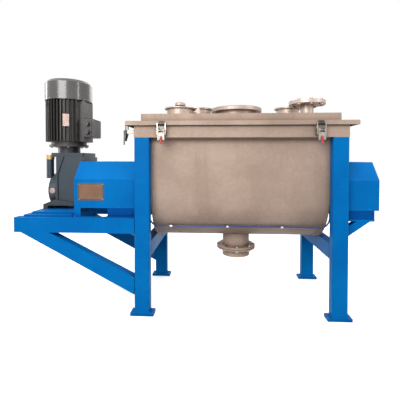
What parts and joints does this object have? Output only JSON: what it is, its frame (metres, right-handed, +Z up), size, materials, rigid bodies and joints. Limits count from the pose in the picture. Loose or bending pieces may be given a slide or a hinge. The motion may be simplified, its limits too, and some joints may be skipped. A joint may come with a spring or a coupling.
{
  "type": "ribbon blender",
  "caption": "Horizontal ribbon blender: U trough on a welded stand, hinged lid with ports, double ribbon agitator, upright geared motor.",
  "frame": {"origin": "on the floor, at the middle of the machine's length and depth, with the latches and hinges counted", "axes": "+X from the drive end to the bearing end, +Y to the rear where the lid's hinges are, +Z up"},
  "size_m": [2.42, 0.888, 1.638],
  "materials": {
    "blue_paint": "gloss",
    "stainless": "blasted",
    "seal_rubber": "matt",
    "bolt_steel": "satin",
    "cast_iron": "cast",
    "gearbox_paint": "painted",
    "breather_brass": "satin",
    "motor_paint": "painted",
    "cowl_paint": "gloss",
    "hose_plastic": "satin",
    "clip_steel": "bright",
    "keeper_steel": "dark",
    "shaft_steel": "ground",
    "spider_rubber": "matt",
    "fan_plastic": "matt",
    "latch_steel": "satin"
  },
  "bodies": {
    "stand": {"front_legs": "blue_paint", "rear_legs": "blue_paint", "foot_plates": "blue_paint", "cross_beams": "blue_paint", "drive_beams": "blue_paint", "drive_braces": "blue_paint", "gearbox_plate": "blue_paint", "bearing_shelf": "blue_paint", "bearing_platform": "blue_paint", "drive_guard": "blue_paint", "bearing_guard": "blue_paint", "guard_skirts": "blue_paint", "trough_shell": "stainless", "trough_end_left": "stainless", "trough_end_right": "stainless", "rim_band": "stainless", "rim_seal": "seal_rubber", "hinge_rim_leaves": "stainless", "latch_bases": "stainless", "outlet_pipe": "stainless", "outlet_gasket": "seal_rubber", "outlet_spigot": "stainless", "stand_bolts": "bolt_steel", "shaft_seals": "stainless", "shaft_bearings": "cast_iron", "gearbox_housing": "gearbox_paint", "gearbox_end_cover": "gearbox_paint", "gearbox_breather": "breather_brass", "motor_adapter": "gearbox_paint", "motor_body": "motor_paint", "fan_cowl": "cowl_paint", "terminal_box": "motor_paint", "air_hose": "hose_plastic", "hose_clips": "clip_steel"},
    "lid": {"lid_panel": "stainless", "port_tubes": "stainless", "flanged_necks": "stainless", "manway_cover": "stainless", "vent_blind": "stainless", "vent_bolts": "bolt_steel", "rear_port_caps": "stainless", "feed_hinge": "stainless", "latch_keepers": "keeper_steel", "hinge_lid_leaves": "stainless"},
    "feed_cover": {"feed_cover": "stainless"},
    "agitator": {"main_shaft": "shaft_steel", "outer_ribbons": "shaft_steel", "inner_ribbons": "shaft_steel", "ribbon_arms": "shaft_steel", "coupling_hubs": "cast_iron", "coupling_spider": "spider_rubber", "gearbox_output": "shaft_steel"},
    "motor_rotor": {"motor_shaft": "shaft_steel", "motor_fan": "fan_plastic"},
    "latch_lever_front_left": {"latch_lever_front_left": "latch_steel"},
    "latch_bail_front_left": {"latch_bail_front_left": "latch_steel"},
    "latch_lever_front_right": {"latch_lever_front_right": "latch_steel"},
    "latch_bail_front_right": {"latch_bail_front_right": "latch_steel"},
    "latch_lever_end": {"latch_lever_end": "latch_steel"},
    "latch_bail_end": {"latch_bail_end": "latch_steel"}
  },
  "joints": [
    {"name": "agitator_spin", "type": "hinge", "parent": "stand", "child": "agitator", "pos_m": [0.303, 0, 0.8], "axis": [1, 0, 0], "continuous": true},
    {"name": "motor_spin", "type": "hinge", "parent": "stand", "child": "motor_rotor", "pos_m": [-1.012, 0, 1.172], "axis": [0, 0, 1], "continuous": true},
    {"name": "lid_hinge", "type": "hinge", "parent": "stand", "child": "lid", "pos_m": [0.303, 0.433, 1.265], "axis": [-1, 0, 0], "range_deg": [0, 80]},
    {"name": "feed_cover_hinge", "type": "hinge", "parent": "lid", "child": "feed_cover", "pos_m": [0.013, -0.06, 1.424], "axis": [0, 1, 0], "range_deg": [0, 110]},
    {"name": "latch_front_left", "type": "hinge", "parent": "stand", "child": "latch_lever_front_left", "pos_m": [-0.202, -0.425, 1.222], "axis": [-1, 0, 0], "range_deg": [0, 110]},
    {"name": "bail_front_left", "type": "hinge", "parent": "latch_lever_front_left", "child": "latch_bail_front_left", "pos_m": [-0.202, -0.423, 1.196], "axis": [-1, 0, 0], "range_deg": [-85, 0]},
    {"name": "latch_front_right", "type": "hinge", "parent": "stand", "child": "latch_lever_front_right", "pos_m": [0.808, -0.425, 1.222], "axis": [-1, 0, 0], "range_deg": [0, 110]},
    {"name": "bail_front_right", "type": "hinge", "parent": "latch_lever_front_right", "child": "latch_bail_front_right", "pos_m": [0.808, -0.423, 1.196], "axis": [-1, 0, 0], "range_deg": [-85, 0]},
    {"name": "latch_end", "type": "hinge", "parent": "stand", "child": "latch_lever_end", "pos_m": [-0.456, -0.33, 1.222], "axis": [0, 1, 0], "range_deg": [0, 110]},
    {"name": "bail_end", "type": "hinge", "parent": "latch_lever_end", "child": "latch_bail_end", "pos_m": [-0.454, -0.33, 1.196], "axis": [0, 1, 0], "range_deg": [-85, 0]}
  ],
  "couplings": [
    {"joint": "motor_spin", "follows": "agitator_spin", "ratio": 31.5},
    {"joint": "bail_front_left", "follows": "latch_front_left", "ratio": -0.75},
    {"joint": "bail_front_right", "follows": "latch_front_right", "ratio": -0.75},
    {"joint": "bail_end", "follows": "latch_end", "ratio": -0.75}
  ]
}
